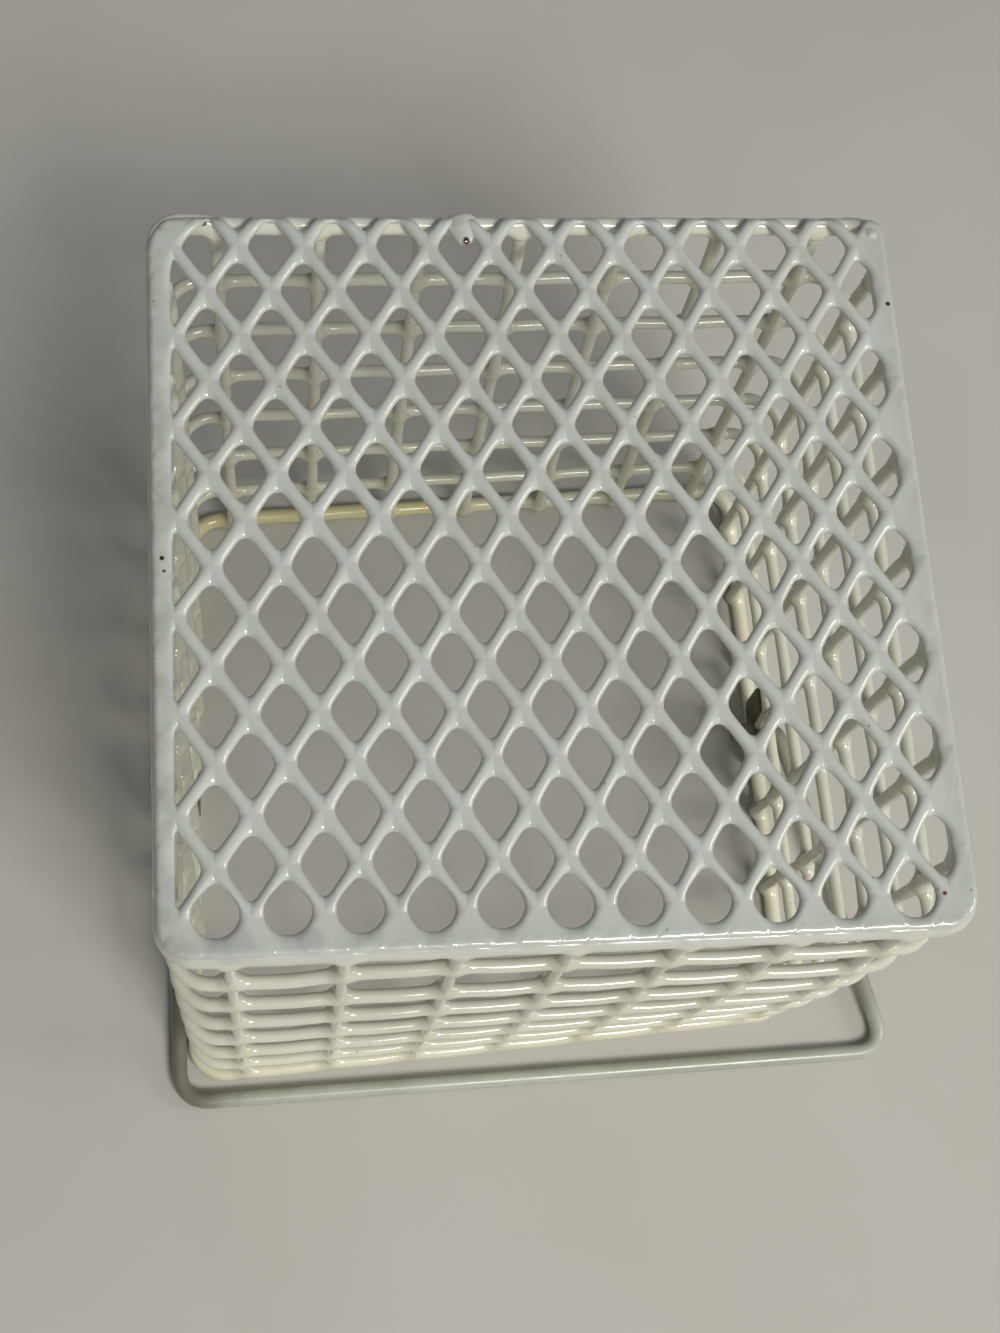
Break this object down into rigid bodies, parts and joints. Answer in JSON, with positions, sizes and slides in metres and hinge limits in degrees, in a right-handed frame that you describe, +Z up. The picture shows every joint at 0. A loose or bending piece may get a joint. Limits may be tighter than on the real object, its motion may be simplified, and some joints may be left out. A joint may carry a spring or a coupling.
{
  "type": "wire mesh storage basket",
  "caption": "White dip-coated wire basket with a diamond-mesh base, stacked wall hoops on upright wires and a swinging wire bail; stored mouth down with the bail lying in front.",
  "frame": {"origin": "on the floor under the middle of the whole part, bail included, with the basket standing on its open mouth", "axes": "+Z up out of the base panel, -Y towards the lying bail, +X to the right along the front, as pictured"},
  "size_m": [0.1792, 0.164, 0.1465],
  "materials": {
    "panel_coating": "glossy white dip coat, cool",
    "border_coating": "glossy white dip coat",
    "wall_coating": "glossy white dip coat, ivory with age",
    "rim_coating": "glossy white dip coat, yellowed",
    "plate_coating": "dip coat, yellowed and soiled",
    "bail_coating": "satin white dip coat, greyed by hands"
  },
  "bodies": {
    "basket": {"base_panel": "panel_coating", "base_border_wire": "border_coating", "hoop_1": "wall_coating", "hoop_2": "wall_coating", "hoop_3": "wall_coating", "hoop_4": "wall_coating", "hoop_5": "wall_coating", "hoop_6": "wall_coating", "mouth_rim": "rim_coating", "front_wire_1": "wall_coating", "front_wire_2": "wall_coating", "front_wire_3": "wall_coating", "front_wire_4": "wall_coating", "front_wire_5": "wall_coating", "front_wire_6": "wall_coating", "front_wire_7": "wall_coating", "back_wire_1": "wall_coating", "back_wire_2": "wall_coating", "back_wire_3": "wall_coating", "back_wire_4": "wall_coating", "back_wire_5": "wall_coating", "back_wire_6": "wall_coating", "back_wire_7": "wall_coating", "left_wire_1": "wall_coating", "left_wire_2": "wall_coating", "left_wire_3": "wall_coating", "left_wire_4": "wall_coating", "left_wire_5": "wall_coating", "left_wire_6": "wall_coating", "left_wire_7": "wall_coating", "right_wire_1": "wall_coating", "right_wire_2": "wall_coating", "right_wire_3": "wall_coating", "right_wire_4": "wall_coating", "right_wire_5": "wall_coating", "right_wire_6": "wall_coating", "right_wire_7": "wall_coating", "left_pivot_plate": "plate_coating", "right_pivot_plate": "plate_coating"},
    "bail": {"bail_handle": "bail_coating"}
  },
  "joints": [
    {"name": "bail_swing", "type": "hinge", "parent": "basket", "child": "bail", "pos_m": [-0.0098, 0.00363, 0.01128], "axis": [0.9987, 0.0505, 0], "range_deg": [-23, 190]}
  ]
}
